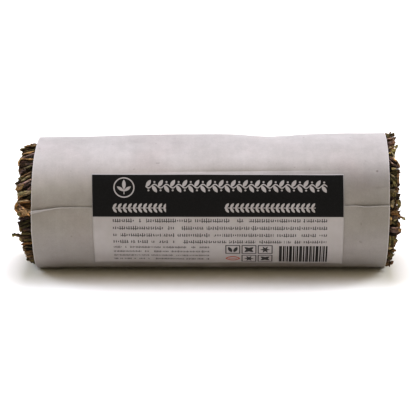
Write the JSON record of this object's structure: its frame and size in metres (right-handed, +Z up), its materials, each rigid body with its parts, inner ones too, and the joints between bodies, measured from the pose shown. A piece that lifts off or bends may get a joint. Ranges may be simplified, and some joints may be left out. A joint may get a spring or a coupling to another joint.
{
  "type": "sage bunch",
  "caption": "Pressed bundle of dried sage, cut off at both ends and bound with thread, lying in a paper sleeve that a stuck-on label holds shut.",
  "frame": {"origin": "on the surface that the bunch lies on, under the middle of its length and width", "axes": "+Z up; +X along the bunch from the cut stems to the leaf tips; the sleeve's seam and the label face -Y"},
  "size_m": [0.1013, 0.0365, 0.0355],
  "materials": {
    "sleeve_paper": "matt",
    "label_paper": "satin",
    "cotton_thread": "twisted cotton",
    "dried_sage": "dry, rough"
  },
  "bodies": {
    "root": {"paper_sleeve": "sleeve_paper", "label": "label_paper", "binding_thread": "cotton_thread", "leafy_stem_01": "dried_sage", "leafy_stem_02": "dried_sage", "leafy_stem_03": "dried_sage", "leafy_stem_04": "dried_sage", "leafy_stem_05": "dried_sage", "leafy_stem_06": "dried_sage", "leafy_stem_07": "dried_sage", "leafy_stem_08": "dried_sage", "leafy_stem_09": "dried_sage", "leafy_stem_10": "dried_sage", "leafy_stem_11": "dried_sage", "leafy_stem_12": "dried_sage", "leafy_stem_13": "dried_sage", "leafy_stem_14": "dried_sage", "leafy_stem_15": "dried_sage", "leafy_stem_16": "dried_sage", "leafy_stem_17": "dried_sage"}
  },
  "joints": []
}
